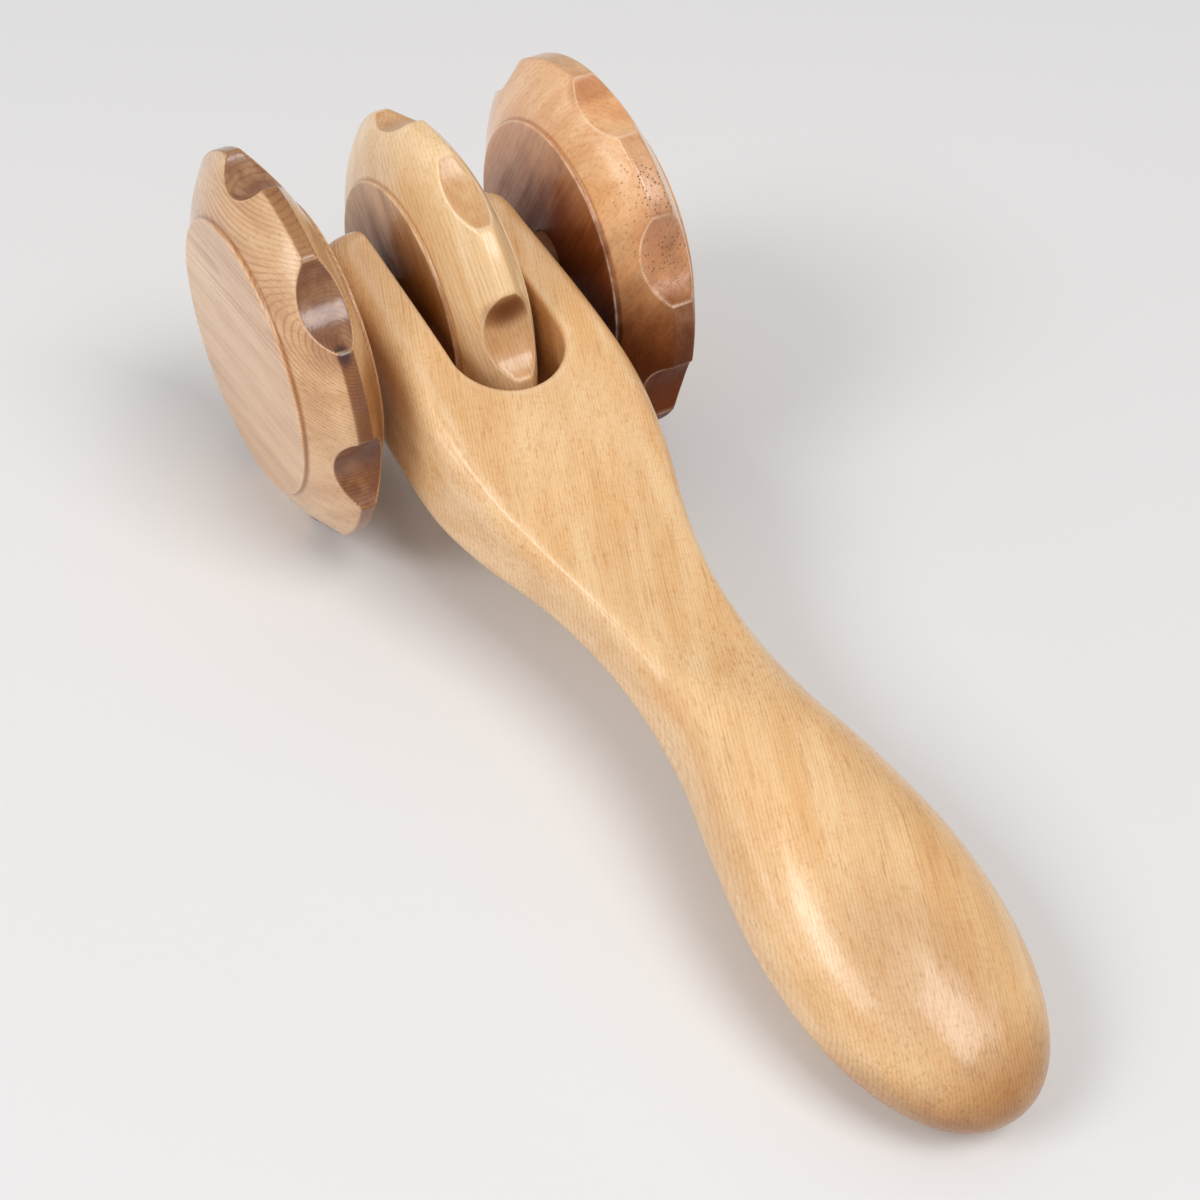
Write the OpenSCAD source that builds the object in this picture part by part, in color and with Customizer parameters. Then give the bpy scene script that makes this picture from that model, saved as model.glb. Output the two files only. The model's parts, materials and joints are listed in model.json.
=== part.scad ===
// Three-wheel wooden hand roller: a forked handle carries a dowel axle, with one notched
// wheel in the fork and one on each side of it. It lies on a table, on the two outer
// wheels and the butt of the handle. Wheels at +X, handle towards -X, axle along Y, +Z up.

/* [Outer wheels] */
// Radius of the two outer wheels at the crown
outer_wheel_r = 42.2; // [38:0.1:46]
// Distance of the left wheel's middle from the middle of the fork
left_wheel_y = 34.9; // [34:0.1:42]
// Distance of the right wheel's middle from the middle of the fork
right_wheel_y = 38.3; // [34:0.1:42]
// Half the thickness of the left wheel
left_half_t = 9.1; // [8:0.1:10]
// Half the thickness of the right wheel
right_half_t = 9.8; // [8:0.1:10]
// Radius of the raised disc on the left wheel's faces
left_face_r = 30; // [26:0.5:33]
// Radius of the raised disc on the right wheel's faces
right_face_r = 30.5; // [26:0.5:33]
// Half the width of the left wheel's flat crown
left_crown = 1.5; // [1:0.1:3]
// Half the width of the right wheel's flat crown
right_crown = 2.3; // [1:0.1:3]

/* [Centre wheel] */
// Radius of the centre wheel at the crown
centre_wheel_r = 40.4; // [36:0.1:41]
// Distance of the centre wheel from the middle of the fork, towards the right wheel
centre_shift = 1.5; // [0:0.1:2]
// Half the thickness of the centre wheel
centre_half_t = 9.3; // [8:0.1:9.8]
// Radius of the raised disc on the centre wheel's faces
centre_face_r = 27.5; // [24:0.5:30]
// Half the width of the centre wheel's crown
centre_crown = 1.5; // [1:0.1:3]

/* [Wheel details] */
// Height of the step at the edge of the raised disc
face_step = 0.9; // [0.4:0.1:1.5]
// How far the bevel of an outer wheel swells beyond a straight line
outer_bulge = 0.5; // [0:0.1:1]
// How far the bevel of the centre wheel swells beyond a straight line
centre_bulge = 1.0; // [0:0.1:1.5]
// Half the angle that one notch takes at the crown
notch_half_angle = 13; // [10:0.5:15]

/* [Axle] */
// Radius of the dowel
axle_r = 6; // [5:0.25:7]
// Radial clearance of the dowel in the fork and in the centre wheel
running_gap = 0.05; // [0.02:0.01:0.1]
// Wood left between the end of the dowel and the outer face of a wheel
blind_wall = 6; // [4:0.5:9]

/* [Handle] */
// Length of the handle from the axle to the end of the butt
handle_l = 212; // [200:1:225]
// Length of the fork's tips in front of the axle
tip_l = 14.5; // [11:0.5:16]
// Half the width of the slot in the fork
slot_half_w = 12; // [11.5:0.1:12.5]
// Distance from the axle to the bottom of the slot
slot_depth = 44.5; // [43:0.5:52]
// Distance from the axle to where the butt starts to round off
butt_start = 157; // [150:1:165]
// Exponent of the butt's rounding, where 2 is an ellipse
butt_power = 2.2; // [2:0.1:2.6]

/* [Hidden] */

// Angle round the wheel, from the side away from the handle and over the top, and depth
// of each notch. They are cut by hand, so no two are quite alike.
LEFT_NOTCHES = [[22, 5], [74, 5.7], [125.5, 5], [178, 6], [232, 5], [290, 5.2], [334, 4.8]];
CENTRE_NOTCHES = [[6, 3], [60, 3.3], [105.5, 2.6], [151.5, 5.4], [204, 4], [258, 3.6], [312, 3.2]];
RIGHT_NOTCHES = [[32, 3.5], [93, 3.2], [144, 4.8], [191, 4.4], [239, 4], [286, 3.8], [334, 4.2]];

// Stations along the handle: distance from the axle, half width, half height, squareness,
// height of the flat that is planed off the top, and sway of the middle to the left.
// Squareness is the exponent of the section's superellipse: 2 is an ellipse, 7 almost a box.
// A flat higher than the half height cuts nothing.
STATIONS = [
    [  0, 22.0, 17.8, 7.0, 17.3,  0.0],
    [ 30, 23.0, 18.0, 6.5, 17.0,  0.0],
    [ 48, 23.4, 16.3, 5.6, 15.1,  0.2],
    [ 64, 21.1, 13.8, 4.5, 11.6,  0.3],
    [ 80, 16.8, 11.5, 3.3,  8.8,  0.3],
    [ 96, 13.2, 11.4, 3.0,  8.4,  0.2],
    [112, 12.4, 12.4, 2.6, 10.2, -0.1],
    [128, 13.7, 15.4, 2.3, 15.6, -0.4],
    [144, 17.5, 17.4, 2.2, 20.0, -0.7],
    [160, 20.6, 17.0, 2.2, 20.0, -0.8],
    [176, 22.4, 16.2, 2.2, 20.0, -0.8],
    [192, 23.4, 16.2, 2.2, 20.0, -0.7],
    [212, 23.8, 16.2, 2.2, 20.0, -0.6]
];
RING_POINTS = 44;    // points round one section of the handle
RINGS = 34;          // sections between the axle and the end of the butt
TIP_RINGS = 6;       // sections in front of the axle
TIP_END = 80;        // last section of the tip, in degrees along its profile
BUTT_END = 0.9995;   // last section of the butt, as a share of its rounding
TIP_CORNER = 8;      // exponent of the tip's corners, seen from above
TIP_NOSE = 3;        // exponent of the tip's nose, seen from the side
BEVEL_STEPS = 4;     // straight pieces in one bevel

left_disc_y = left_wheel_y + left_half_t;
right_disc_y = right_wheel_y + right_half_t;
axle_y0 = -(right_disc_y - blind_wall);
axle_y1 = left_disc_y - blind_wall;

// Value of column c of the stations at distance s, on a smooth curve through them all
function knot(i) = STATIONS[min(max(i, 0), len(STATIONS) - 1)];
function slope(i, c) = (knot(i + 1)[c] - knot(i - 1)[c]) / (knot(i + 1)[0] - knot(i - 1)[0]);
function span_of(s, i = 0) = i >= len(STATIONS) - 2 || s < STATIONS[i + 1][0] ? i : span_of(s, i + 1);
function hermite(a, b, da, db, t) =
    a * (2 * pow(t, 3) - 3 * t * t + 1) + b * (3 * t * t - 2 * pow(t, 3))
    + da * (pow(t, 3) - 2 * t * t + t) + db * (pow(t, 3) - t * t);
function along(s, c) =
    let (i = span_of(s), a = knot(i), b = knot(i + 1), w = b[0] - a[0])
    hermite(a[c], b[c], slope(i, c) * w, slope(i + 1, c) * w, (s - a[0]) / w);

// One section of the handle: a superellipse with a flat top at distance s from the axle
function signed_pow(v, e) = sign(v) * pow(abs(v), e);
function section(s, w, h, n) = [
    for (k = [0 : RING_POINTS - 1])
        let (a = 360 * (k + 0.5) / RING_POINTS, z = h * signed_pow(sin(a), 2 / n))
        [-s, along(max(s, 0), 5) + w * signed_pow(cos(a), 2 / n), min(z, along(max(s, 0), 4))]
];

// Sections of the tip, which has a blunt nose from the side and rounded corners from above
TIP_SECTIONS = [
    for (k = [TIP_RINGS : -1 : 1])
        let (a = TIP_END * k / TIP_RINGS)
        section(-tip_l * sin(a), along(0, 1) * pow(1 - pow(sin(a), TIP_CORNER), 1 / TIP_CORNER),
                along(0, 2) * pow(1 - pow(sin(a), TIP_NOSE), 1 / TIP_NOSE), along(0, 3))
];
// Sections of the body and the butt, closer together towards the end of the butt
function butt(s) =
    let (e = max(0, (s - butt_start) / (handle_l - butt_start)))
    pow(1 - pow(e, butt_power), 1 / butt_power);
BODY_SECTIONS = [
    for (k = [0 : RINGS - 1])
        let (u = k / (RINGS - 1), s = handle_l * BUTT_END * (1 - pow(1 - u, 1.5)))
        section(s, along(s, 1) * butt(s), along(s, 2) * butt(s), along(s, 3))
];
SECTIONS = concat(TIP_SECTIONS, BODY_SECTIONS);
HANDLE_POINTS = [for (ring = SECTIONS) for (p = ring) p];

// The handle sinks until its butt meets the table on which the outer wheels stand
function lowest(a) = min([for (p = HANDLE_POINTS) p.x * sin(a) + p.z * cos(a)]) + outer_wheel_r;
function settle(a, turns) = turns == 0 ? a : settle(a + asin(lowest(a) / handle_l), turns - 1);
incline = settle(7, 12);
handle_back = min([for (p = HANDLE_POINTS) p.x * cos(incline) - p.z * sin(incline)]);

// Places a piece built round the axle: the origin is under the middle of the whole object
module on_table() {
    translate([-(outer_wheel_r + handle_back) / 2, (right_disc_y - left_disc_y) / 2, outer_wheel_r])
        rotate([0, -incline, 0])
            children();
}

// A cylinder along Y between two places
module rod(r, y0, y1) {
    translate([0, y1, 0])
        rotate([90, 0, 0])
            cylinder(r = r, h = y1 - y0, $fn = 96);
}

// Half of a wheel's outline, from the raised disc to the crown
function bevel(r, half_t, face_r, crown, bulge) = [
    for (k = [0 : BEVEL_STEPS])
        let (t = k / BEVEL_STEPS, out = bulge * 4 * t * (1 - t))
        [face_r + (r - face_r) * t + out * 0.6, half_t - face_step + (crown - half_t + face_step) * t + out * 0.8]
];

// A wheel with a raised disc on each face, two bevels and a row of scooped notches
module wheel(r, half_t, face_r, crown, bulge, notches) {
    half = concat([[face_r, half_t]], bevel(r, half_t, face_r, crown, bulge));
    lower = [for (k = [len(half) - 1 : -1 : 0]) [half[k][0], -half[k][1]]];
    half_chord = r * sin(notch_half_angle);
    difference() {
        rotate([-90, 0, 0])
            rotate_extrude($fn = 96)
                polygon(concat([[0, half_t]], half, lower, [[0, -half_t]]));
        for (n = notches) {
            below = n[1] - r * (1 - cos(notch_half_angle));
            scoop_r = (half_chord * half_chord + below * below) / (2 * below);
            rotate([0, -n[0], 0])
                translate([r - n[1] + scoop_r, 0, 0])
                    rod(scoop_r, -half_t - 1, half_t + 1);
        }
    }
}

module handle() {
    rings = len(SECTIONS);
    sides = [
        for (i = [0 : rings - 2])
            for (k = [0 : RING_POINTS - 1])
                let (a = i * RING_POINTS + k, b = i * RING_POINTS + (k + 1) % RING_POINTS)
                each [[a, b, b + RING_POINTS], [a, b + RING_POINTS, a + RING_POINTS]]
    ];
    front = [for (k = [RING_POINTS - 1 : -1 : 0]) k];
    back = [for (k = [0 : RING_POINTS - 1]) (rings - 1) * RING_POINTS + k];
    color("burlywood")
        on_table()
            difference() {
                polyhedron(HANDLE_POINTS, concat(sides, [front, back]), convexity = 6);
                translate([0, 0, -30])
                    linear_extrude(60)
                        union() {
                            translate([slot_half_w - slot_depth, 0])
                                circle(slot_half_w, $fn = 64);
                            translate([slot_half_w - slot_depth, -slot_half_w])
                                square([slot_depth + tip_l, 2 * slot_half_w]);
                        }
                rod(axle_r + running_gap, -30, 30);
            }
}

module axle() {
    color("tan")
        on_table()
            rod(axle_r, axle_y0, axle_y1);
}

module left_wheel() {
    color("peru")
        on_table()
            difference() {
                translate([0, left_wheel_y, 0])
                    wheel(outer_wheel_r, left_half_t, left_face_r, left_crown, outer_bulge, LEFT_NOTCHES);
                rod(axle_r, left_wheel_y - left_half_t - 1, axle_y1);
            }
}

module centre_wheel() {
    color("wheat")
        on_table()
            translate([0, -centre_shift, 0])
                difference() {
                    wheel(centre_wheel_r, centre_half_t, centre_face_r, centre_crown, centre_bulge,
                          CENTRE_NOTCHES);
                    rod(axle_r + running_gap, -centre_half_t - 1, centre_half_t + 1);
                }
}

module right_wheel() {
    color("sienna")
        on_table()
            difference() {
                translate([0, -right_wheel_y, 0])
                    wheel(outer_wheel_r, right_half_t, right_face_r, right_crown, outer_bulge, RIGHT_NOTCHES);
                rod(axle_r, axle_y0, right_half_t - right_wheel_y + 1);
            }
}

handle();
axle();
left_wheel();
centre_wheel();
right_wheel();
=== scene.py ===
"""Looks of the three-wheel wooden hand roller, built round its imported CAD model.

The handle, the three wheels and the dowel are fine meshes that stand for the CAD nodes. They
have the CAD shapes, with the edges worn round as on sanded and lacquered wood. All wood is
procedural: growth rings round a pith line, fibres, flecks and pores along the grain.
"""

import json
import math
from collections import namedtuple

import bpy
import numpy as np
from mathutils import Matrix, Vector

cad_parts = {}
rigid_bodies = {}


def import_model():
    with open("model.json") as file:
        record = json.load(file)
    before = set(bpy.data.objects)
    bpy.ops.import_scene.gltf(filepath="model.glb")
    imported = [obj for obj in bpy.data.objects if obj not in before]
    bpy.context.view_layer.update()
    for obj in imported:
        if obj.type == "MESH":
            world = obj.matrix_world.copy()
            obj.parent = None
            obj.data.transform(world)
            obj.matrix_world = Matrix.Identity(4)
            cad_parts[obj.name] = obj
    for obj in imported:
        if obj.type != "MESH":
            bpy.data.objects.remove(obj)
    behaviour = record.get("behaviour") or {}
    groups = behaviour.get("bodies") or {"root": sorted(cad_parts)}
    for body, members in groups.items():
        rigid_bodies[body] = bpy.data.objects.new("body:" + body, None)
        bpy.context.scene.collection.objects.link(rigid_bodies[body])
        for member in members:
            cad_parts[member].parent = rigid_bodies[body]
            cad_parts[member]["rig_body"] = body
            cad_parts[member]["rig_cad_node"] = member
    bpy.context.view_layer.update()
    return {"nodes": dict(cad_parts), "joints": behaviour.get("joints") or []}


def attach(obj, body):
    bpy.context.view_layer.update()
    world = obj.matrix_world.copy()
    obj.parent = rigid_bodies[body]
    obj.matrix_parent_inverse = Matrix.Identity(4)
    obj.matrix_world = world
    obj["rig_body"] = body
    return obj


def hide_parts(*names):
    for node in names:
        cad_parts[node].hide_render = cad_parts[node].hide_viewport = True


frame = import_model()

# ---------------------------------------------------------------- sizes, in millimetres
MM = 0.001
INCLINE = 8.710  # degrees that the handle rises from its butt to the axle
AXLE_R = 6.0
RUNNING_GAP = 0.05
BLIND_WALL = 6.0  # wood between the end of the dowel and a wheel's outer face
FACE_STEP = 0.9  # height of the raised disc on each wheel face
NOTCH_HALF_ANGLE = 13.0
WHEEL_COLUMNS = 640
OUTLINE_STEP = 0.42  # between points of a wheel's outline, where notches can cut it
FLAT_STEP = 4.0  # the same on the flat faces and in the bores, where nothing is cut
FLAT_MARGIN = 1.5  # fine stretch of a wheel's face before the edge of its disc
FAN_R = 1.2  # radius of the fans of faces that close a wheel's flat faces in the middle

# A wheel: its place along the axle, radius, half thickness, radius of the raised discs, half
# width of the crown, bulge of the bevels, reach of the rounding of the notches' edges, and its
# notches as (angle round from the side away from the handle and over the top, depth)
Wheel = namedtuple("Wheel", "y wheel_r half_t face_r crown bulge edge notches")
LEFT = Wheel(
    34.9, 42.2, 9.1, 30.0, 1.5, 0.5, 0.5,
    [(22, 5), (74, 5.7), (125.5, 5), (178, 6), (232, 5), (290, 5.2), (334, 4.8)],
)
CENTRE = Wheel(
    -1.5, 40.4, 9.3, 27.5, 1.5, 1.0, 0.8,
    [(6, 3), (60, 3.3), (105.5, 2.6), (151.5, 5.4), (204, 4), (258, 3.6), (312, 3.2)],
)
RIGHT = Wheel(
    -38.3, 42.2, 9.8, 30.5, 2.3, 0.5, 0.5,
    [(32, 3.5), (93, 3.2), (144, 4.8), (191, 4.4), (239, 4), (286, 3.8), (334, 4.2)],
)

# Handle: distance from the axle, half width, half height, squareness of the section, height
# of the flat planed off its top, and sway of its middle to the left
STATIONS = np.array([
    (0, 22.0, 17.8, 7.0, 17.3, 0.0),
    (30, 23.0, 18.0, 6.5, 17.0, 0.0),
    (48, 23.4, 16.3, 5.6, 15.1, 0.2),
    (64, 21.1, 13.8, 4.5, 11.6, 0.3),
    (80, 16.8, 11.5, 3.3, 8.8, 0.3),
    (96, 13.2, 11.4, 3.0, 8.4, 0.2),
    (112, 12.4, 12.4, 2.6, 10.2, -0.1),
    (128, 13.7, 15.4, 2.3, 15.6, -0.4),
    (144, 17.5, 17.4, 2.2, 20.0, -0.7),
    (160, 20.6, 17.0, 2.2, 20.0, -0.8),
    (176, 22.4, 16.2, 2.2, 20.0, -0.8),
    (192, 23.4, 16.2, 2.2, 20.0, -0.7),
    (212, 23.8, 16.2, 2.2, 20.0, -0.6),
])
TIP_LENGTH = 14.5
TIP_NOSE = 3.0  # exponent of the tip's nose, seen from the side
HANDLE_LENGTH = 212.0
BUTT_START = 157.0
BUTT_POWER = 2.2
SLOT_HALF_W = 12.0
SLOT_DEPTH = 44.5
SLOT_EDGE = 1.6  # reach of the rounding where the slot meets the outside
BORE_EDGE = 0.8
RIDGE_EDGE = 0.9  # reach of the worn edge of the flat top
RIDGE_END = 106.0  # where the ridges beside the flat top have worn away, and the painted highlight along them ends
RIDGE_FADE = 16.0
VOXEL = 0.62

fork_middle = Vector(frame["joints"][0]["pos_m"])


def placement(y):
    """Matrix of a piece built in millimetres round the axle, y across from the fork's middle."""
    turn = Matrix.Rotation(math.radians(-INCLINE), 4, "Y")
    return Matrix.Translation(fork_middle + Vector((0, y * MM, 0))) @ turn


def add_piece(name, points, faces, y, body, nodes, material, attributes):
    """Makes a smooth mesh piece from points in millimetres that stands for CAD nodes."""
    mesh = bpy.data.meshes.new(name)
    laid = placement(y)
    turn = np.array(laid.to_3x3())
    mesh.from_pydata((points * MM @ turn.T + np.array(laid.translation)).tolist(), [], faces)
    mesh.polygons.foreach_set("use_smooth", np.ones(len(mesh.polygons), bool))
    for key, values in attributes.items():
        layer = mesh.attributes.new(key, "FLOAT", "POINT")
        layer.data.foreach_set("value", values.astype(np.float32))
    mesh.materials.append(material)
    piece = bpy.data.objects.new(name, mesh)
    bpy.context.scene.collection.objects.link(piece)
    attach(piece, body)
    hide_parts(*nodes)
    return piece


def soft_min(a, b, reach):
    """The smaller of two lengths, blended over reach where they are nearly the same."""
    h = np.clip(reach - np.abs(a - b), 0, None) / reach
    return np.minimum(a, b) - h * h * reach / 4


def soft_max(a, b, reach):
    """The larger of two lengths, blended in the same way."""
    return -soft_min(-a, -b, reach)


# ---------------------------------------------------------------- turned pieces
def rounded_outline(corners, step, fine_from=0.0):
    """Points along an outline of (radius, y, rounding) corners, each corner bent round, with
    the straight stretches nearer the axis than fine_from cut coarsely."""
    at = np.array([c[:2] for c in corners], float)
    reach = [c[2] for c in corners]
    outline = [at[0]]

    def line_to(end):
        start = outline[-1]
        coarse = max(start[0], end[0]) < fine_from
        count = math.ceil(np.linalg.norm(end - start) / (FLAT_STEP if coarse else step))
        count = max(1, count)
        outline.extend(start + (end - start) * k / count for k in range(1, count + 1))

    for before, corner, after, r in zip(at, at[1:], at[2:], reach[1:]):
        if r == 0:
            line_to(corner)
            continue
        enter = corner + (before - corner) * r / np.linalg.norm(before - corner)
        leave = corner + (after - corner) * r / np.linalg.norm(after - corner)
        line_to(enter)
        for t in np.linspace(0, 1, 7)[1:]:
            outline.append(enter * (1 - t) ** 2 + corner * 2 * t * (1 - t) + leave * t * t)
    line_to(at[-1])
    return np.array(outline)


def wheel_corners(wheel):
    """Corners of a wheel from the disc on its +y face over the rim to the disc on its -y face,
    with the middle of both faces left open."""
    foot = wheel.half_t - FACE_STEP
    upper = [(wheel.face_r - FLAT_MARGIN, wheel.half_t, 0), (wheel.face_r, wheel.half_t, 0.45)]
    upper.append((wheel.face_r + 0.05, foot, 0.25))
    for t in np.linspace(0, 1, 13)[1:-1]:
        out = wheel.bulge * 4 * t * (1 - t)
        radius = wheel.face_r + (wheel.wheel_r - wheel.face_r) * t + 0.6 * out
        side = foot + (wheel.crown - foot) * t + 0.8 * out
        upper.append((radius, side, 0))
    upper.append((wheel.wheel_r, wheel.crown, 0.45))
    lower = [(r, -y, rounding) for r, y, rounding in reversed(upper)]
    return upper + lower


def revolve(outline, columns, closed_loop):
    """Faces of a surface of revolution whose rows of points follow an outline."""
    rows = len(outline)
    faces = []
    for i in range(rows if closed_loop else rows - 1):
        a, b = i * columns, (i + 1) % rows * columns
        for k in range(columns):
            n = (k + 1) % columns
            faces.append((a + k, a + n, b + n, b + k))
    return faces


def notch_floor(wheel, angle):
    """Radius that the scooped notches leave at each angle, very large where there is none."""
    half_chord = wheel.wheel_r * math.sin(math.radians(NOTCH_HALF_ANGLE))
    sagitta = wheel.wheel_r * (1 - math.cos(math.radians(NOTCH_HALF_ANGLE)))
    floor = np.full_like(angle, 1e3)
    for degrees, depth in wheel.notches:
        below = depth - sagitta
        scoop_r = (half_chord**2 + below**2) / (2 * below)
        away = wheel.wheel_r - depth + scoop_r
        off = (angle - math.radians(degrees) + math.pi) % (2 * math.pi) - math.pi
        inside = scoop_r**2 - (away * np.sin(off)) ** 2
        reached = away * np.cos(off) - np.sqrt(np.clip(inside, 0, None))
        hit = (inside > 0) & (np.abs(off) < math.pi / 4)
        floor[hit] = np.minimum(floor[hit], reached[hit])
    return floor


def wheel_points(outline, wheel):
    """Points of a wheel with its notches scooped out, and masks for its material: cut faces,
    rims lighter partly for wear and partly as a painted glint, the groove round the raised
    disc, and the crown."""
    angle = np.arange(WHEEL_COLUMNS) * 2 * math.pi / WHEEL_COLUMNS
    turned = outline[:, 0][:, None] + 0 * angle
    side = outline[:, 1][:, None] + 0 * angle
    floor = notch_floor(wheel, angle)
    radius = soft_min(turned, floor, wheel.edge)
    points = np.stack([radius * np.cos(angle), side, radius * np.sin(angle)], -1)

    above, below = np.abs(turned - wheel.face_r), np.abs(side) - wheel.half_t
    cut = np.clip((turned - radius - 0.10) / 0.25, 0, 1)
    # lighter rims along the notches' edges and the raised disc's edge: partly wear, partly a painted
    # glint where these rounded edges catch the light
    notch_rim = np.clip(1 - np.abs(turned - floor) / 0.4, 0, 1)
    disc_rim = 0.7 * np.clip(1.3 - np.maximum(above, np.abs(below)) / 0.4, 0, 1)
    foot = np.hypot(turned - wheel.face_r - 0.2, below + FACE_STEP)
    level = np.clip((wheel.crown + 0.35 - np.abs(side)) / 0.4, 0, 1)
    looks = {
        "cut": cut,
        "rim_wear_and_glint": np.maximum(notch_rim, disc_rim),
        "groove": np.clip(1 - foot / 0.7, 0, 1),
        "crown": level * (turned > wheel.wheel_r - 1.0) * (1 - cut),
    }
    return points.reshape(-1, 3), {key: values.ravel() for key, values in looks.items()}


def close_ends(points, faces, columns, first_y, last_y):
    """Adds a centre point to each end row of an outline that starts and ends on the axis."""
    top, bottom = len(points), len(points) + 1
    last = len(points) - columns
    points = np.vstack([points, [(0, first_y, 0), (0, last_y, 0)]])
    for k in range(columns):
        n = (k + 1) % columns
        faces.append((top, n, k))
        faces.append((bottom, last + k, last + n))
    return points, faces


def outer_wheel(name, wheel, outward, material):
    """An outer wheel, solid on its outer face and with a blind hole for the dowel behind."""
    hole = AXLE_R + 0.02
    hole_end = wheel.half_t - BLIND_WALL
    corners = [(FAN_R, wheel.half_t, 0)] + wheel_corners(wheel)
    corners += [(hole, -wheel.half_t, 0.4), (hole, hole_end, 0), (FAN_R, hole_end, 0)]
    outline = rounded_outline(corners, OUTLINE_STEP, wheel.face_r - FLAT_MARGIN / 2)
    points, looks = wheel_points(outline, wheel)
    faces = revolve(outline, WHEEL_COLUMNS, False)
    points, faces = close_ends(points, faces, WHEEL_COLUMNS, wheel.half_t, hole_end)
    if outward < 0:
        points[:, 1] *= -1
    else:
        faces = [f[::-1] for f in faces]
    looks = {key: np.append(values, (0.0, 0.0)) for key, values in looks.items()}
    return add_piece(
        name + "_turned", points, faces, wheel.y, "outer_wheel_set", [name],
        material, looks,
    )


def centre_wheel(wheel, material):
    """The wheel in the fork, bored right through."""
    hole = AXLE_R + RUNNING_GAP
    corners = [(hole, 0, 0), (hole, wheel.half_t, 0.4)] + wheel_corners(wheel)
    corners += [(hole, -wheel.half_t, 0.4), (hole, 0, 0)]
    outline = rounded_outline(corners, OUTLINE_STEP, wheel.face_r - FLAT_MARGIN / 2)[:-1]
    points, looks = wheel_points(outline, wheel)
    faces = [f[::-1] for f in revolve(outline, WHEEL_COLUMNS, True)]
    return add_piece(
        "centre_wheel_turned", points, faces, wheel.y, "centre_wheel",
        ["centre_wheel"], material, looks,
    )


def dowel(y0, y1, material):
    """The axle: a dowel with chamfered ends and the faint waves that turning leaves."""
    columns = 96
    corners = [(1.0, y1, 0), (AXLE_R - 0.5, y1, 0.2), (AXLE_R, y1 - 0.5, 0.2)]
    corners += [(AXLE_R, y0 + 0.5, 0.2), (AXLE_R - 0.5, y0, 0.2), (1.0, y0, 0)]
    outline = rounded_outline(corners, 0.5)
    waves = 0.02 * np.sin(outline[:, 1] * 2.1) + 0.02 * np.sin(outline[:, 1] * 0.63 + 1)
    outline[:, 0] += np.where(outline[:, 0] > AXLE_R - 0.1, waves - 0.04, 0)
    angle = np.arange(columns) * 2 * math.pi / columns
    radius = outline[:, 0][:, None]
    side = outline[:, 1][:, None] + 0 * angle
    points = np.stack([radius * np.cos(angle), side, radius * np.sin(angle)], -1)
    faces = revolve(outline, columns, False)
    points, faces = close_ends(points.reshape(-1, 3), faces, columns, y1, y0)
    faces = [f[::-1] for f in faces]
    return add_piece(
        "axle_dowel", points, faces, 0, "outer_wheel_set", ["axle"], material, {}
    )


# ---------------------------------------------------------------- handle
def station_values(s):
    """The columns of the stations at distances s, on smooth curves through them all."""
    knots = STATIONS[:, 0]
    after = np.minimum(np.arange(len(knots)) + 1, len(knots) - 1)
    before = np.maximum(np.arange(len(knots)) - 1, 0)
    slopes = (STATIONS[after, 1:] - STATIONS[before, 1:]) / (knots[after] - knots[before])[:, None]
    s = np.clip(s, 0, knots[-1])
    i = np.clip(np.searchsorted(knots, s, side="right") - 1, 0, len(knots) - 2)
    width = (knots[i + 1] - knots[i])[:, None]
    t = ((s - knots[i]) / width[:, 0])[:, None]
    a, b = STATIONS[i, 1:], STATIONS[i + 1, 1:]
    return (
        a * (2 * t**3 - 3 * t**2 + 1) + b * (3 * t**2 - 2 * t**3)
        + slopes[i] * width * (t**3 - 2 * t**2 + t) + slopes[i + 1] * width * (t**3 - t**2)
    ).T


def outside_gauge(p):
    """1 on the outside of the handle before it is slotted, less inside it, more outside."""
    s = -p[:, 0]
    w, h, n, _, sway = station_values(s)
    tip = np.clip(-s, 0, None) / TIP_LENGTH
    butt = np.clip(s - BUTT_START, 0, None) / (HANDLE_LENGTH - BUTT_START)
    tall = ((np.abs(p[:, 2]) / h) ** TIP_NOSE + tip**TIP_NOSE) ** (1 / TIP_NOSE)
    across = ((np.abs(p[:, 1] - sway) / w) ** n + tall**n) ** (1 / n)
    return (across**BUTT_POWER + butt**BUTT_POWER) ** (1 / BUTT_POWER)


def gradient(field, p, step=0.01):
    """Central differences of a field at points p."""
    sides = []
    for axis in range(3):
        move = np.zeros(3)
        move[axis] = step
        sides.append((field(p + move) - field(p - move)) / (2 * step))
    return np.stack(sides, -1)


def outside_distance(p):
    """Roughly the distance from the unslotted handle, negative inside."""
    slope = np.linalg.norm(gradient(outside_gauge, p), axis=1)
    return (outside_gauge(p) - 1) / slope


def flat_distance(p):
    """Distance from the flat planed off the top, negative under it."""
    s = -p[:, 0]
    top = station_values(s)[3]
    rise = (station_values(s + 0.5)[3] - station_values(s - 0.5)[3]) / 1.0
    return (p[:, 2] - top) / np.sqrt(1 + rise**2)


def slot_distance(p):
    """Distance from the walls of the slot, negative inside the slot."""
    along = np.clip(-p[:, 0] - (SLOT_DEPTH - SLOT_HALF_W), 0, None)
    return np.hypot(along, p[:, 1]) - SLOT_HALF_W


def bore_distance(p):
    return np.hypot(p[:, 0], p[:, 2]) - AXLE_R - RUNNING_GAP


def handle_distance(p):
    """The whole handle: outside less slot less bore, with its edges rounded by wear."""
    body = soft_max(outside_distance(p), flat_distance(p), RIDGE_EDGE)
    body = soft_max(body, -slot_distance(p), SLOT_EDGE)
    return soft_max(body, -bore_distance(p), BORE_EDGE)


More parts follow.
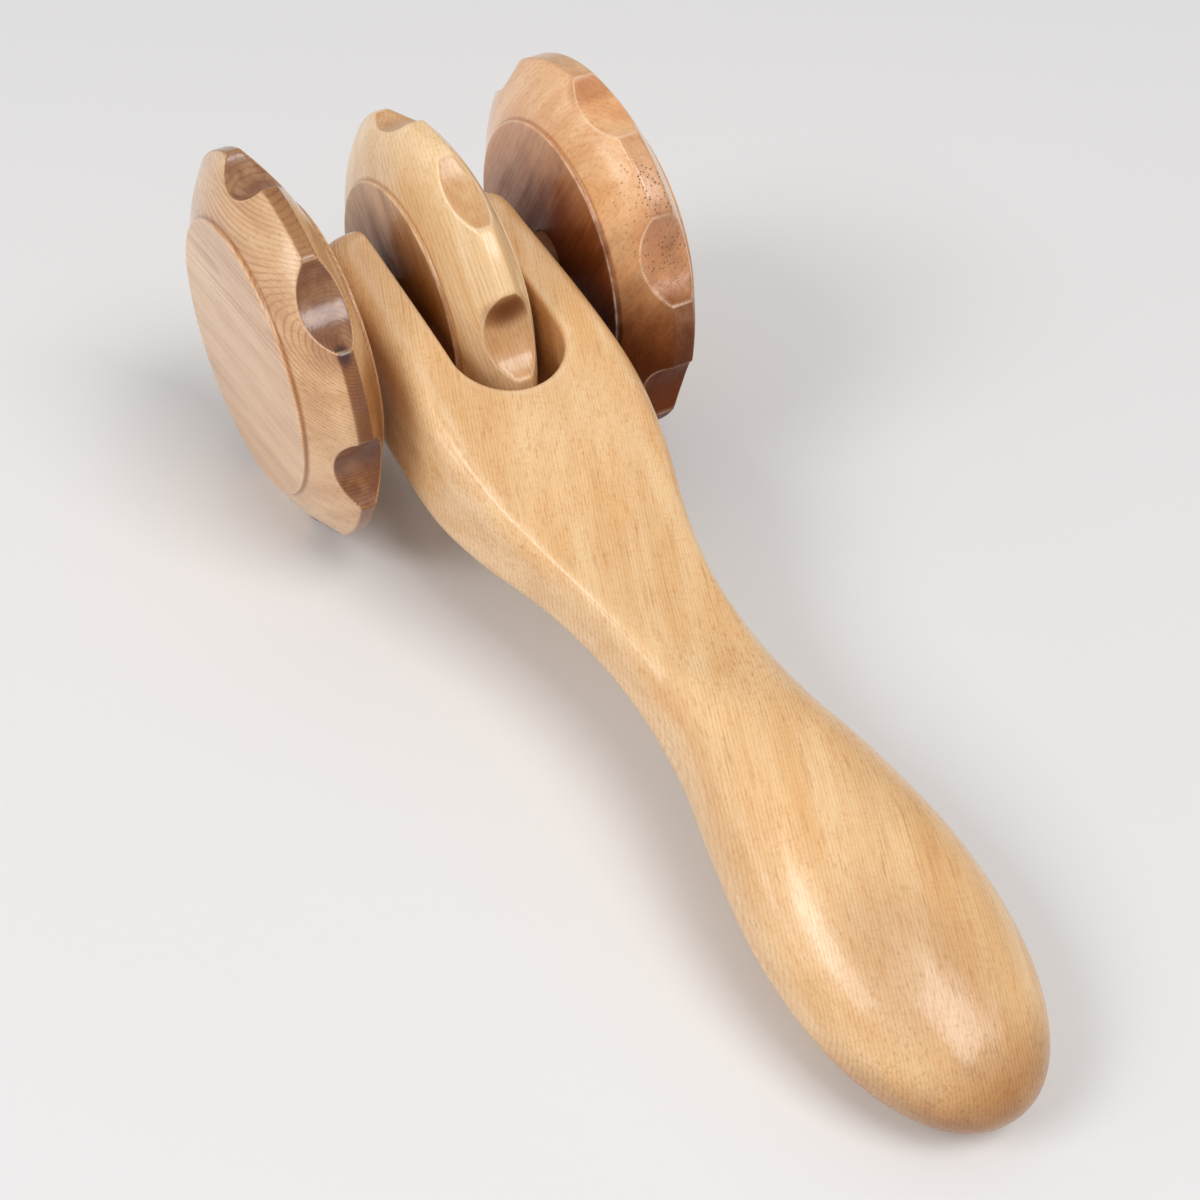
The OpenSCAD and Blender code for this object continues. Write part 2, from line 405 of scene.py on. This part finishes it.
def handle(material):
    """A voxel mesh of the CAD handle, moved on to the exact rounded surface."""
    rough = frame["nodes"]["handle"].copy()
    rough.data = rough.data.copy()
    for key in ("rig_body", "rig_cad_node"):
        if key in rough:
            del rough[key]
    rough.parent = None
    rough.data.transform(placement(0).inverted())
    bpy.context.scene.collection.objects.link(rough)
    remesh = rough.modifiers.new("remesh", "REMESH")
    remesh.mode = "VOXEL"
    remesh.voxel_size = VOXEL * MM
    made = bpy.data.meshes.new_from_object(
        rough.evaluated_get(bpy.context.evaluated_depsgraph_get())
    )
    points = np.empty(len(made.vertices) * 3, np.float32)
    made.vertices.foreach_get("co", points)
    points = points.reshape(-1, 3).astype(float) / MM
    faces = [tuple(f.vertices) for f in made.polygons]
    bpy.data.objects.remove(rough)
    bpy.data.meshes.remove(made)
    for _ in range(5):
        slope = gradient(handle_distance, points)
        square = np.clip((slope**2).sum(1), 0.05, None)
        move = -(handle_distance(points) / square)[:, None] * slope
        length = np.linalg.norm(move, axis=1)[:, None]
        points += move * np.minimum(1, 0.5 / np.maximum(length, 1e-9))
    outside, flat, slot = outside_distance(points), flat_distance(points), slot_distance(points)
    # lighter rim round the slot for wear, and a painted highlight along the ridges beside the flat
    # top
    slot_rim = np.clip(1 - np.abs(outside + slot) / 1.0, 0, 1)
    ridge_glint = np.clip(1 - np.abs(outside - flat) / 0.45, 0, 1) * (outside > -0.5)
    ridge_glint *= np.clip((RIDGE_END + points[:, 0]) / RIDGE_FADE, 0, 1)
    looks = {"cut": np.clip(1 - slot / 0.3, 0, 1), "rim_wear_and_glint": np.maximum(slot_rim, ridge_glint)}
    return add_piece(
        "handle_carved", points, faces, 0, "handle", ["handle"], material, looks
    )


# ---------------------------------------------------------------- wood
PORE_BROWN = (84, 46, 24)
DULL_PAINTED_SHADE = 0.95  # patches stronger than this, all painted shade over darker wood, take the gloss away with them
EVERYWHERE = ((0, 0, 0), (500, 500, 500))  # a zone that holds the whole object
NO_TINT = ((1, 1, 1), 0.0)


class Graph:
    """Builds one material: each method adds a node and returns what comes out of it."""

    def __init__(self, name):
        self.material = bpy.data.materials.new(name)
        self.material.use_nodes = True
        self.tree = self.material.node_tree
        self.shader = self.tree.nodes["Principled BSDF"]

    def put(self, socket, value):
        if isinstance(value, bpy.types.NodeSocket):
            self.tree.links.new(value, socket)
        else:
            socket.default_value = value

    def node(self, kind, inputs, output=0, **settings):
        made = self.tree.nodes.new(kind)
        for key, value in settings.items():
            setattr(made, key, value)
        for key, value in inputs.items():
            self.put(made.inputs[key], value)
        return made.outputs[output]

    def attribute(self, key):
        return self.node("ShaderNodeAttribute", {}, "Fac", attribute_name=key)

    def math(self, operation, *values):
        return self.node("ShaderNodeMath", dict(enumerate(values)), operation=operation)

    def vector(self, operation, *values, output=0):
        return self.node("ShaderNodeVectorMath", dict(enumerate(values)), output, operation=operation)

    def spread(self, value, low, high, out_low=0.0, out_high=1.0):
        """Maps low..high to out_low..out_high, smoothly and held at the ends."""
        inputs = {0: value, 1: low, 2: high, 3: out_low, 4: out_high}
        return self.node("ShaderNodeMapRange", inputs, interpolation_type="SMOOTHSTEP")

    def mix(self, factor, a, b, kind="MIX"):
        inputs = {0: factor, 6: a, 7: b}
        return self.node("ShaderNodeMix", inputs, 2, data_type="RGBA", blend_type=kind)

    def tinted(self, colour, share, tint):
        """The colour, multiplied by the tint where the share is 1."""
        return self.mix(share, colour, self.mix(1.0, colour, (*tint, 1.0), "MULTIPLY"))

    def noise(self, at, across, along, seed, detail=2.0, roughness=0.55):
        """Noise with its own scale, per millimetre, across and along the grain."""
        stretched = self.vector("MULTIPLY", at, (across, across, along))
        inputs = {"Vector": stretched, "W": seed, "Scale": 1.0, "Detail": detail}
        inputs["Roughness"] = roughness
        return self.node("ShaderNodeTexNoise", inputs, noise_dimensions="4D")


def rgb(red, green, blue):
    """A colour given as 0-255 display values, in Blender's linear light."""
    def linear(v):
        v /= 255
        return v / 12.92 if v <= 0.04045 else ((v + 0.055) / 1.055) ** 2.4
    return (linear(red), linear(green), linear(blue), 1.0)


def share_of_reach(g, place, centre, reach):
    """Distance from a centre, 1 at the reach along x, y and z, both in millimetres."""
    away = g.vector("SUBTRACT", place, tuple(placement(0) @ (Vector(centre) * MM)))
    away = g.vector("DIVIDE", away, tuple(v * MM for v in reach))
    return g.vector("LENGTH", away, output="Value")


def growth_rings(g, at, seed, gap, bend):
    """Thin lines at the end of each year round the pith, bent and broken by slow noise."""
    radius = g.vector("LENGTH", g.vector("MULTIPLY", at, (1.0, 1.0, 0.0)), output="Value")
    drift = g.math("SUBTRACT", g.noise(at, 0.045, 0.012, seed), 0.5)
    radius = g.math("ADD", radius, g.math("MULTIPLY", drift, bend))
    uneven = g.noise(at, 0.25, 0.03, seed + 3)
    radius = g.math("ADD", radius, g.math("MULTIPLY", uneven, gap * 1.2))
    wave = g.math("SINE", g.math("MULTIPLY", radius, 2 * math.pi / gap))
    shown = g.spread(g.noise(at, 0.09, 0.05, seed + 5), 0.3, 0.65, 0.4, 1.0)
    return g.math("MULTIPLY", g.spread(wave, 0.1, 1.0), shown)


def open_pores(g, at, place, patch, share, zone):
    """Pores, longer along the grain, that thin out beyond a zone of (centre, reach)."""
    cells = {"Vector": g.vector("MULTIPLY", at, (1.25, 1.25, 0.20)), "Scale": 1.0}
    pore = g.spread(g.node("ShaderNodeTexVoronoi", cells, "Distance"), 0.14, 0.30, share, 0.0)
    away = g.math("ADD", share_of_reach(g, place, *zone), g.math("SUBTRACT", patch, 0.5))
    return g.math("MULTIPLY", pore, g.spread(away, 0.6, 1.0, 1.0, 0.06))


def stained_and_shaded(g, colour, place, ragged, stains_and_shade):
    """The colour with its stain patches and its patches of painted shade, and how far the deepest of
    them, the painted shade, dull the gloss.
    """
    dull = 0.0
    for centre, reach, tint, strength in stains_and_shade:
        away = g.math("ADD", share_of_reach(g, place, centre, reach), ragged)
        share = g.spread(away, 0.35, 1.0, strength, 0.0)
        half = tuple(math.sqrt(v) for v in tint)
        colour = g.tinted(g.tinted(colour, share, half), share, half)
        if strength > DULL_PAINTED_SHADE:
            dull = g.math("MAXIMUM", dull, share)
    return colour, dull


def wood(name, *, seed, grain, pith, light, dark, rings, fibres, ripples, pores,
         pore_zone=EVERYWHERE, end_tint, cut_tint=NO_TINT, crown_tint=NO_TINT, worn_and_glint, stains_and_shade, coat):
    """Lacquered wood. The grain is the fibres' direction and the pith a point on the middle of
    the tree, in millimetres from the fork's middle. Rings are the spacing, depth and bend of
    the growth rings; fibres, ripples and pores are how strongly they show. A tint is a colour
    to multiply with and its strength, and worn_and_glint is the same for a colour that covers
    rims, for wear and for a painted glint along the edges. Each of stains_and_shade is its
    centre, the reach of its ragged edge along x, y and z, its tint and strength: the wood's
    own stains and tone, and in a few places painted shade over darker wood."""
    g = Graph(name)
    laid = placement(0)
    turn = laid.to_3x3() @ Vector(grain).to_track_quat("Z", "Y").to_matrix()
    turn = tuple(turn.to_euler())
    place = g.node("ShaderNodeTexCoord", {}, "Object")
    inputs = {
        "Vector": place, "Location": tuple(laid @ (Vector(pith) * MM)), "Rotation": turn,
        "Scale": (MM, MM, MM),
    }
    at = g.node("ShaderNodeMapping", inputs, vector_type="TEXTURE")

    # slow bands of colour, fibres, ripple across the grain, growth rings and pores
    bands = g.noise(at, 0.16, 0.010, seed + 7, 4.0)
    cloud = g.noise(at, 0.05, 0.03, seed + 11, 3.0)
    patch = g.noise(at, 0.30, 0.12, seed + 13, 4.0, 0.6)
    fibre = g.noise(at, 1.7, 0.05, seed + 17, 3.0, 0.7)
    ripple = g.noise(at, 0.55, 1.5, seed + 23, 3.0, 0.65)
    speck = g.noise(at, 2.4, 0.8, seed + 27, 2.0, 0.6)
    wander = g.noise(at, 0.16, 0.05, seed + 41)
    ring_gap, ring_depth, ring_bend = rings
    ring = growth_rings(g, at, seed, ring_gap, ring_bend)
    pore = open_pores(g, at, place, patch, pores, pore_zone)

    # end grain: where the surface faces along the fibres
    normal = {"Vector": g.node("ShaderNodeTexCoord", {}, "Normal"), "Rotation": turn}
    facing = g.node("ShaderNodeMapping", normal, vector_type="TEXTURE")
    ends = g.math("ABSOLUTE", g.node("ShaderNodeSeparateXYZ", {0: facing}, "Z"))
    pore = g.math("MULTIPLY", pore, g.spread(ends, 0.35, 0.85, 0.35, 1.0))

    # colour, from the slowest changes to the finest
    colour = g.mix(g.spread(bands, 0.35, 0.65), light, dark)
    colour = g.tinted(colour, g.spread(cloud, 0.40, 0.68), (1.01, 0.97, 0.90))
    colour = g.tinted(colour, g.spread(patch, 0.52, 0.75, 0.0, 0.5), (0.93, 0.87, 0.80))
    ragged = g.math("MULTIPLY", g.math("SUBTRACT", bands, 0.5), 0.5)
    ragged = g.math("ADD", ragged, g.math("MULTIPLY", g.math("SUBTRACT", patch, 0.5), 0.25))
    # stain patches of the wood's own tone, and patches of painted shade on the butt and on the
    # wheels' inner faces and backs
    colour, dull = stained_and_shaded(g, colour, place, ragged, stains_and_shade)
    colour = g.tinted(colour, g.spread(ends, 0.55, 0.98, 0.0, end_tint[1]), end_tint[0])
    uneven = g.spread(patch, 0.30, 0.62, 0.70 * cut_tint[1], cut_tint[1])
    colour = g.tinted(colour, g.math("MULTIPLY", g.attribute("cut"), uneven), cut_tint[0])
    crown = g.math("MULTIPLY", g.attribute("crown"), crown_tint[1])
    colour = g.tinted(colour, crown, crown_tint[0])
    colour = g.tinted(colour, g.math("MULTIPLY", ring, ring_depth), (0.72, 0.56, 0.42))
    colour = g.tinted(colour, g.spread(fibre, 0.50, 0.70, 0.0, fibres), (0.78, 0.65, 0.49))
    colour = g.tinted(colour, g.spread(ripple, 0.50, 0.70, 0.0, ripples), (0.86, 0.78, 0.68))
    colour = g.tinted(colour, g.spread(speck, 0.55, 0.72, 0.0, 0.7 * fibres), (0.84, 0.70, 0.52))
    colour = g.mix(g.math("MULTIPLY", pore, 0.8), colour, rgb(*PORE_BROWN))
    # rims: lighter partly for wear and partly as a painted glint along the edges
    rim_wear_and_glint = g.math("MULTIPLY", g.attribute("rim_wear_and_glint"), g.spread(patch, 0.35, 0.65, 0.25, 1.0))
    colour = g.mix(g.math("MULTIPLY", rim_wear_and_glint, worn_and_glint[1]), colour, worn_and_glint[0])
    colour = g.tinted(colour, g.attribute("groove"), (0.62, 0.44, 0.30))
    g.put(g.shader.inputs["Base Color"], colour)

    # gloss: lacquer over a satin ground, rougher where the fibres are open, and dull under the
    # deepest painted shade
    rough = g.math("ADD", g.spread(fibre, 0.3, 0.7, 0.38, 0.52), g.math("MULTIPLY", pore, 0.2))
    g.put(g.shader.inputs["Roughness"], rough)
    g.put(g.shader.inputs["Specular IOR Level"], g.spread(dull, 0.0, 1.0, 0.5, 0.1))
    lacquer = g.math("MULTIPLY", g.math("SUBTRACT", 1.0, dull), coat)
    g.put(g.shader.inputs["Coat Weight"], lacquer)
    g.put(g.shader.inputs["Coat Roughness"], g.spread(patch, 0.3, 0.7, 0.12, 0.20))

    # relief of fibres, rings, pores and slow waves, in metres
    height = g.math("MULTIPLY", fibre, 0.00005)
    height = g.math("ADD", height, g.math("MULTIPLY", ring, -0.00001))
    height = g.math("ADD", height, g.math("MULTIPLY", pore, -0.00020))
    height = g.math("ADD", height, g.math("MULTIPLY", wander, 0.0004))
    for socket, strength in (("Normal", 0.7), ("Coat Normal", 0.4)):
        inputs = {"Strength": strength, "Distance": 1.0, "Height": height}
        g.put(g.shader.inputs[socket], g.node("ShaderNodeBump", inputs))
    return g.material


def round_wheel(degrees):
    """Direction of grain in a wheel's own plane, at this angle round the wheel."""
    return (math.cos(math.radians(degrees)), 0.0, math.sin(math.radians(degrees)))


handle_wood = wood(
    "handle_wood", seed=1.0, coat=0.6, grain=(-0.942, 0.334, 0.0), pith=(0, 190, -20),
    light=rgb(240, 202, 153), dark=rgb(228, 182, 126),
    rings=(0.66, 0.40, 2.5), fibres=0.80, ripples=0.55, pores=0.25,
    end_tint=((0.84, 0.76, 0.64), 0.7), cut_tint=((0.80, 0.66, 0.52), 0.6),
    worn_and_glint=(rgb(250, 230, 202), 0.30),
    stains_and_shade=[
        # darker butt end: partly darker wood, partly painted shade where the butt turns down to the
        # floor
        ((-216, -3, 0), (28, 26, 20), (0.50, 0.37, 0.24), 0.85),
        ((-204, 16, -4), (30, 14, 13), (0.62, 0.50, 0.36), 0.85),
        ((-190, 4, 15), (30, 18, 14), (0.80, 0.76, 0.74), 0.9),
        ((-70, -20, 8), (60, 7, 14), (0.90, 0.78, 0.62), 0.8),
        ((-150, -12, 14), (34, 8, 10), (0.97, 0.92, 0.85), 0.6),
        ((-118, 12, 8), (9, 3, 4), (0.86, 0.68, 0.48), 0.6),
    ],
)
left_wood = wood(
    "left_wheel_wood", seed=50.0, coat=0.9, grain=round_wheel(165), pith=(-30.5, LEFT.y - 1, 27),
    light=rgb(231, 191, 147), dark=rgb(207, 160, 112),
    rings=(0.74, 0.85, 2.0), fibres=0.85, ripples=0.45, pores=0.0,
    end_tint=((0.74, 0.58, 0.42), 0.7), cut_tint=((0.34, 0.21, 0.13), 1.0),
    crown_tint=((0.46, 0.32, 0.16), 0.95), worn_and_glint=(rgb(240, 198, 156), 0.75),
    stains_and_shade=[
        ((-31.5, LEFT.y + 0.5, 27.5), (3.2, 2.0, 3.6), (0.26, 0.13, 0.11), 0.95),
        ((-38, LEFT.y - 4, 12), (18, 8, 20), (0.58, 0.43, 0.28), 0.85),
        ((-30, LEFT.y + 3, 30), (10, 6, 10), (0.66, 0.52, 0.40), 0.85),
        ((-8, LEFT.y + 6, 36), (60, 4, 60), (0.84, 0.76, 0.66), 0.6),
        ((12, LEFT.y + 9, 22), (26, 4, 12), (0.86, 0.80, 0.78), 0.7),
    ],
)
centre_wood = wood(
    "centre_wheel_wood", seed=90.0, coat=0.7, grain=round_wheel(220),
    pith=(-10, CENTRE.y - 60, 64), light=rgb(252, 224, 181), dark=rgb(241, 203, 152),
    rings=(0.9, 0.34, 3.0), fibres=0.60, ripples=0.35, pores=0.15,
    end_tint=((0.84, 0.72, 0.58), 0.6), cut_tint=((0.66, 0.47, 0.31), 0.85),
    crown_tint=((0.95, 0.90, 0.82), 0.5), worn_and_glint=(rgb(252, 230, 200), 0.6),
    stains_and_shade=[
        # the inner face towards the fork's left arm: partly darker wood, partly painted shade from
        # the arm beside it; dull
        ((-15, CENTRE.y + 9.4, -10), (58, 1.4, 58), (0.22, 0.09, 0.02), 0.96),
        ((-31.4, CENTRE.y, 22.0), (5.4, 8, 5.4), (0.22, 0.11, 0.06), 0.9),
    ],
)
right_wood = wood(
    "right_wheel_wood", seed=130.0, coat=0.9, grain=round_wheel(112),
    pith=(-14, RIGHT.y + 12, 30), light=rgb(247, 203, 156), dark=rgb(234, 180, 130),
    rings=(1.3, 0.20, 6.0), fibres=0.75, ripples=0.50, pores=1.0,
    pore_zone=((-28, RIGHT.y, 31), (19, 12, 15)),
    end_tint=((0.86, 0.72, 0.60), 0.4), cut_tint=((0.94, 0.82, 0.70), 0.6),
    crown_tint=((0.80, 0.76, 0.72), 0.9), worn_and_glint=(rgb(252, 224, 198), 0.7),
    stains_and_shade=[
        # the lower back of the wheel: partly its own darker red-brown wood, partly painted shade;
        # dull
        ((-50, RIGHT.y, -16), (55, 46, 55), (0.17, 0.07, 0.03), 0.97),
        ((-31, RIGHT.y, 29), (10, 12, 10), (0.66, 0.47, 0.34), 0.85),
        ((4, RIGHT.y, 41), (5, 9, 4), (0.66, 0.48, 0.36), 0.85),
        # the inner face towards the centre wheel: partly darker wood, partly painted shade from the
        # centre wheel and the fork; dull
        ((-20, RIGHT.y + 9.8, -10), (66, 1.4, 62), (0.20, 0.08, 0.03), 0.96),
    ],
)
# dark brown so that where the dowel shows in the gaps beside the fork it is as dark as the shade
# there: painted shade, as its own colour is not seen
dowel_wood = wood(
    "dowel_wood", seed=170.0, coat=0.4, grain=(0, 1, 0), pith=(14, 0, 10),
    light=rgb(150, 100, 62), dark=rgb(124, 78, 46),
    rings=(1.8, 0.25, 4.0), fibres=0.4, ripples=0.2, pores=0.2,
    end_tint=((0.84, 0.72, 0.60), 0.6), worn_and_glint=(rgb(200, 150, 110), 0.3), stains_and_shade=[],
)

# ---------------------------------------------------------------- the object
handle(handle_wood)
outer_wheel("left_wheel", LEFT, 1, left_wood)
outer_wheel("right_wheel", RIGHT, -1, right_wood)
centre_wheel(CENTRE, centre_wood)
dowel(RIGHT.y - RIGHT.half_t + BLIND_WALL, LEFT.y + LEFT.half_t - BLIND_WALL, dowel_wood)

# ---------------------------------------------------------------- floor, light and camera
FLOOR_REACH = 12.0  # metres from the middle to each edge
FLOOR_GAP = 0.0002  # keeps the floor just under what stands on it


def lay_floor():
    """A plain pale floor."""
    paint = Graph("floor_grey")
    paint.shader.inputs["Base Color"].default_value = rgb(228, 227, 227)
    paint.shader.inputs["Roughness"].default_value = 0.7
    mesh = bpy.data.meshes.new("floor")
    square = [(-1, -1), (1, -1), (1, 1), (-1, 1)]
    corners = [(x * FLOOR_REACH, y * FLOOR_REACH, 0) for x, y in square]
    mesh.from_pydata(corners, [], [(0, 1, 2, 3)])
    mesh.materials.append(paint.material)
    floor = bpy.data.objects.new("floor", mesh)
    floor.location.z = -FLOOR_GAP
    bpy.context.scene.collection.objects.link(floor)


def light_room(colour, strength):
    """Even light from all round."""
    world = bpy.data.worlds.new("studio")
    bpy.context.scene.world = world
    world.use_nodes = True
    background = world.node_tree.nodes["Background"]
    background.inputs["Color"].default_value = colour
    background.inputs["Strength"].default_value = strength


def softbox(name, direction, distance, size, power, target=(0.0, 0.0, 0.03)):
    """A rectangular area light in this direction from the target, aimed back at it."""
    data = bpy.data.lights.new(name, "AREA")
    data.shape = "RECTANGLE"
    data.size, data.size_y = size
    data.energy = power
    lamp = bpy.data.objects.new(name, data)
    away = Vector(direction).normalized()
    lamp.location = Vector(target) + away * distance
    lamp.rotation_mode = "QUATERNION"
    lamp.rotation_quaternion = (-away).to_track_quat("-Z", "Y")
    bpy.context.scene.collection.objects.link(lamp)


def aim_camera(view_from, forward, up, lens):
    """A camera at a place in metres that looks forward, with up at the top of the picture."""
    data = bpy.data.cameras.new("camera")
    data.lens = lens
    data.sensor_width = 36
    data.clip_start = 0.01
    camera = bpy.data.objects.new("camera", data)
    right = forward.cross(up).normalized()
    turn = Matrix((right, right.cross(forward).normalized(), -forward.normalized())).transposed()
    camera.matrix_world = Matrix.Translation(view_from) @ turn.to_4x4()
    bpy.context.scene.collection.objects.link(camera)
    bpy.context.scene.camera = camera


lay_floor()
light_room((1.0, 0.995, 0.99, 1.0), 0.42)

# The side light glints along the grip and the ridges, the top light in the notches, and the
# low light on the wheels' bevels
softbox("side_light", (0.0, 1.0, 0.95), 1.6, (0.75, 0.62), 9.4)
softbox("top_light", (-0.46, -0.19, 0.87), 1.8, (0.9, 0.9), 16.0)
softbox("low_light", (0.30, 0.93, 0.17), 1.6, (0.55, 0.36), 2.4)
aim_camera(
    view_from=Vector((-0.24464, 0.15067, 0.31314)),
    forward=Vector((0.605924, -0.353255, -0.712788)),
    up=Vector((0.61985, -0.351974, 0.701356)),
    lens=61.64,
)
bpy.context.scene.view_settings.view_transform = "Standard"
